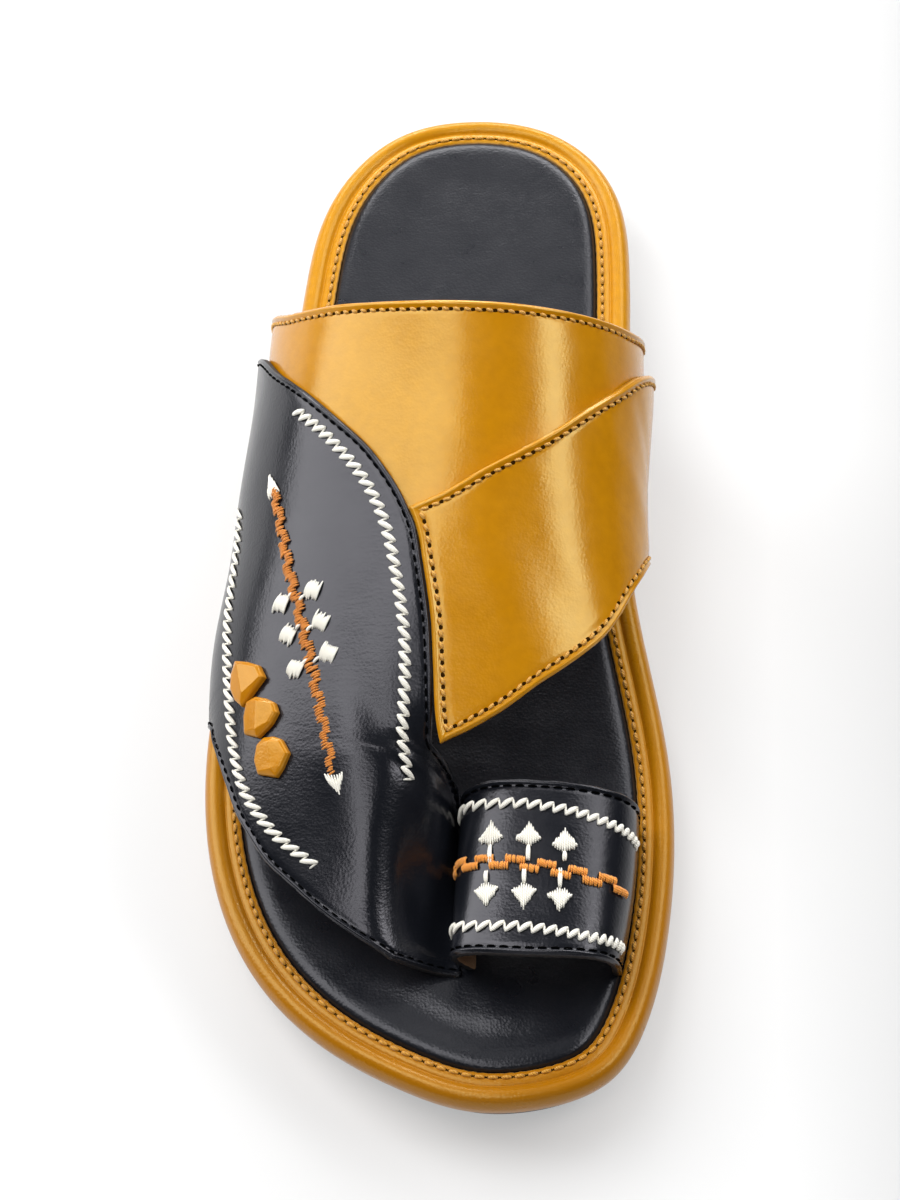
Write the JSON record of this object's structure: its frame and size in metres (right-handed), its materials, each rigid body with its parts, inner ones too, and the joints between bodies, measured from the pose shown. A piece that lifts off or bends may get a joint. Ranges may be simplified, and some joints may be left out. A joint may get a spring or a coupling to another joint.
{
  "type": "toe-loop sandal",
  "caption": "Right-foot leather slide sandal with crossed instep straps, an outer panel, a loop for the big toe and a padded insole on a wrapped platform sole.",
  "frame": {"origin": "middle of the footprint on the floor under the sole", "axes": "toe towards -Y, heel towards +Y, inner side of the foot towards +X, up +Z"},
  "size_m": [0.1116, 0.2864, 0.0863],
  "materials": {
    "outsole_rubber": "matt black moulded rubber",
    "mustard_leather": "smooth semi-gloss mustard leather",
    "black_leather": "glossy black leather",
    "insole_leather": "glossy black padded leather",
    "stud_leather": "smooth mustard leather"
  },
  "bodies": {
    "root": {"outsole": "outsole_rubber", "midsole": "mustard_leather", "insole": "insole_leather", "upper_straps": "mustard_leather", "upper_panel": "black_leather", "upper_toe_loop": "black_leather", "stud_1": "stud_leather", "stud_2": "stud_leather", "stud_3": "stud_leather"}
  },
  "joints": []
}
